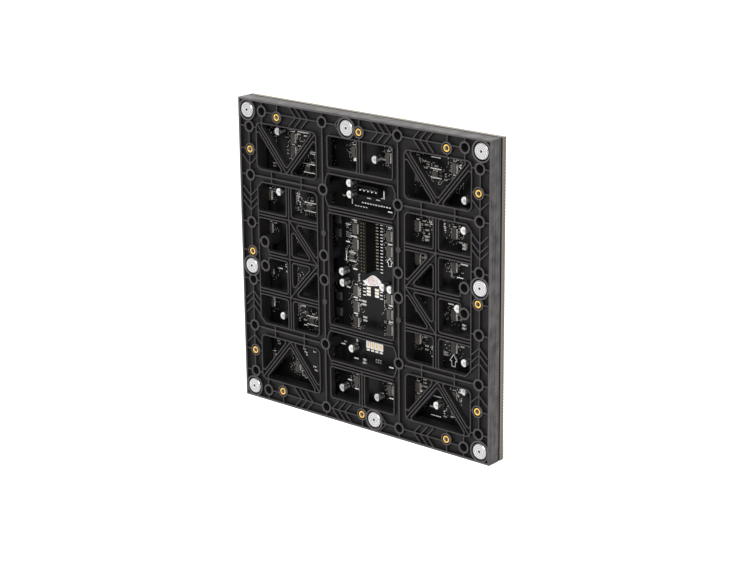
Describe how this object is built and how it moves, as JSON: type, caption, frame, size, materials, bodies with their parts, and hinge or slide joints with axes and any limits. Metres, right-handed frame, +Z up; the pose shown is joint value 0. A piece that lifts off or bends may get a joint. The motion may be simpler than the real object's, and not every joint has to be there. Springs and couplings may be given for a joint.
{
  "type": "led display module",
  "caption": "Square LED display module seen from its ribbed rear frame, with magnets, brass inserts, a two-row signal socket and lamps on the front.",
  "frame": {"origin": "middle of the bottom edge, halfway through the depth", "axes": "+Z up, +Y out of the rear face with the magnets, lamps face -Y"},
  "size_m": [0.25, 0.0184, 0.25],
  "materials": {
    "rear_frame": "fine moulded grain, dark grey",
    "circuit_board": "black solder mask, bare edge",
    "led_lamps": "black lamp bodies with clear tops",
    "magnet_posts": "plated, turned face",
    "threaded_inserts": "bright",
    "frame_screws": "black",
    "solder_nuts": "tinned",
    "driver_chips": "moulded",
    "driver_leads": "tinned",
    "switch_chips": "moulded",
    "switch_leads": "tinned",
    "buffer_chips": "moulded",
    "buffer_leads": "tinned",
    "capacitor_cans": "bright drawn",
    "capacitor_bases": "black",
    "signal_socket": "black",
    "socket_contacts": "gold plated",
    "socket_tails": "tinned",
    "socket_pads": "tinned",
    "auxiliary_socket": "black",
    "auxiliary_pins": "gold plated",
    "power_pads": "tinned",
    "ceramic_capacitors": "fired",
    "resistors": "black top, white ends",
    "resistor_arrays": "pale",
    "inspection_sticker": "matt white"
  },
  "bodies": {
    "root": {"rear_frame": "rear_frame", "circuit_board": "circuit_board", "led_lamps": "led_lamps", "magnet_posts": "magnet_posts", "threaded_inserts": "threaded_inserts", "frame_screws": "frame_screws", "solder_nuts": "solder_nuts", "driver_chips": "driver_chips", "driver_leads": "driver_leads", "switch_chips": "switch_chips", "switch_leads": "switch_leads", "buffer_chips": "buffer_chips", "buffer_leads": "buffer_leads", "capacitor_cans": "capacitor_cans", "capacitor_bases": "capacitor_bases", "signal_socket": "signal_socket", "socket_contacts": "socket_contacts", "socket_tails": "socket_tails", "socket_pads": "socket_pads", "auxiliary_socket": "auxiliary_socket", "auxiliary_pins": "auxiliary_pins", "power_pads": "power_pads", "ceramic_capacitors": "ceramic_capacitors", "resistors": "resistors", "resistor_arrays": "resistor_arrays", "inspection_sticker": "inspection_sticker"}
  },
  "joints": []
}
